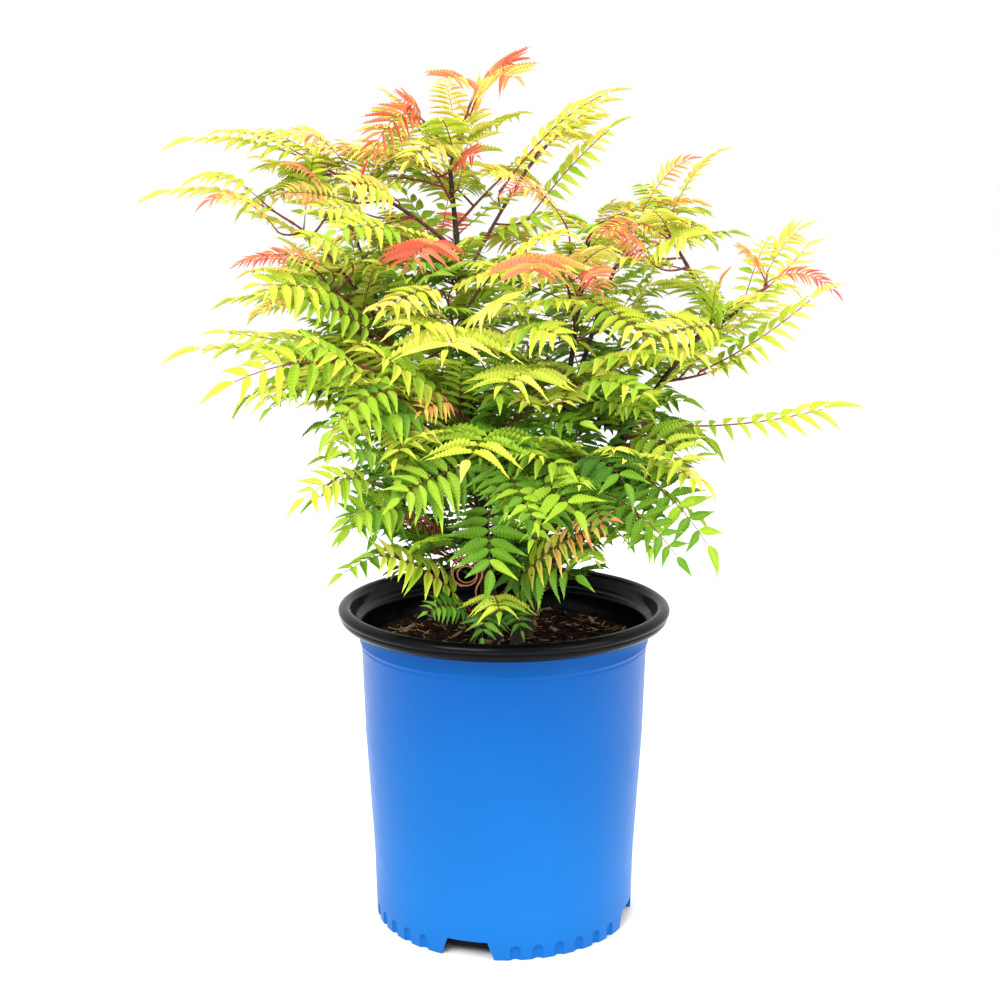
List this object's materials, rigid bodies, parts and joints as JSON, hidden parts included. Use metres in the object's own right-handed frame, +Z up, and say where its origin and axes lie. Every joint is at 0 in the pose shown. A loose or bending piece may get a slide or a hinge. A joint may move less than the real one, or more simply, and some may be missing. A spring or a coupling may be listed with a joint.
{
  "type": "potted false spirea",
  "caption": "Potted false spirea shrub: branching stems with feathery divided leaves, green low down and coral red at the tips, in a tapered nursery pot with a rolled lip.",
  "frame": {"origin": "centre of the pot's flat underside, on the pot's axis, at ground level", "axes": "+Z up along the pot's axis, +X to the right seen from the plant's front, -Y towards the front"},
  "size_m": [0.4694, 0.3613, 0.5897],
  "materials": {
    "pot": "satin",
    "mulch": "rough",
    "bark": "matte",
    "young_bark": "matte",
    "leaf_coral": "satin",
    "leaf_orange": "satin",
    "leaf_yellow": "satin",
    "leaf_lime": "satin",
    "leaf_green": "satin"
  },
  "bodies": {
    "root": {"bough_back_left": "young_bark", "bough_high_left": "young_bark", "bough_high_right": "young_bark", "bough_left": "young_bark", "bough_right_high": "young_bark", "bough_right_outer": "young_bark", "bough_rising_left": "young_bark", "bough_upper_left": "young_bark", "foliage_back_left": "leaf_lime", "foliage_back_low": "leaf_green", "foliage_back_low_left": "leaf_green", "foliage_back_low_right": "leaf_green", "foliage_back_middle": "leaf_lime", "foliage_back_right": "leaf_yellow", "foliage_back_top": "leaf_yellow", "foliage_crown_left": "leaf_coral", "foliage_crown_top": "leaf_coral", "foliage_front_left": "leaf_lime", "foliage_front_low": "leaf_green", "foliage_front_right": "leaf_green", "foliage_front_upper": "leaf_lime", "foliage_high_back": "leaf_lime", "foliage_high_left": "leaf_yellow", "foliage_high_right": "leaf_yellow", "foliage_inner_left": "leaf_lime", "foliage_left_front": "leaf_lime", "foliage_low_left": "leaf_lime", "foliage_lower_back_left": "leaf_green", "foliage_lower_left": "leaf_green", "foliage_lower_right": "leaf_green", "foliage_mid_left": "leaf_lime", "foliage_middle_front": "leaf_coral", "foliage_middle_right": "leaf_lime", "foliage_middle_top": "leaf_coral", "foliage_red_left": "leaf_coral", "foliage_right_arm": "leaf_lime", "foliage_right_high": "leaf_orange", "foliage_right_red": "leaf_coral", "foliage_right_side": "leaf_lime", "foliage_right_yellow": "leaf_yellow", "foliage_rising_left": "leaf_orange", "foliage_skirt_front": "leaf_green", "foliage_skirt_left": "leaf_green", "foliage_skirt_right": "leaf_green", "foliage_soil_sprig": "leaf_lime", "foliage_upper_left": "leaf_yellow", "pot": "pot", "potting_mix": "mulch", "stem_back": "bark", "stem_back_right": "bark", "stem_leader": "bark", "stem_middle": "bark", "stem_right": "bark"}
  },
  "joints": []
}
